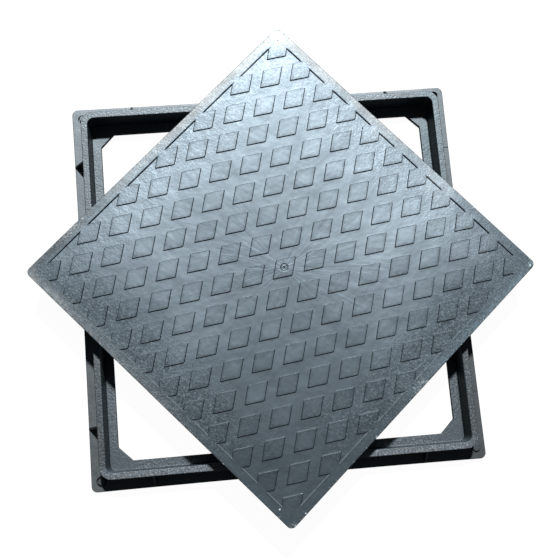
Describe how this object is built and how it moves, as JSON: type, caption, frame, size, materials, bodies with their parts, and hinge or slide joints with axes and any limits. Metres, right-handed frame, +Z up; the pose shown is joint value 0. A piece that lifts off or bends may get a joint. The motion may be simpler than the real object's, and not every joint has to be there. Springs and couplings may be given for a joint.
{
  "type": "square inspection cover and frame",
  "caption": "Square moulded inspection cover with a raised lozenge tread, lying turned across its open square frame with seat, flange and gussets.",
  "frame": {"origin": "under the middle of the cover, on the plane that the frame's underside rests on", "axes": "+Z up, +X and +Y along the sides of the frame; the cover is turned 48.38 degrees clockwise from them"},
  "size_m": [0.8392, 0.8392, 0.091],
  "materials": {
    "frame_plastic": "fine grained moulded black-grey plastic, dry and slightly dusty",
    "cover_plastic": "moulded black-grey plastic, grained near the rim, smoother and glossier towards the middle, scuffed at the corners"
  },
  "bodies": {
    "root": {"frame": "frame_plastic", "cover": "cover_plastic"}
  },
  "joints": []
}
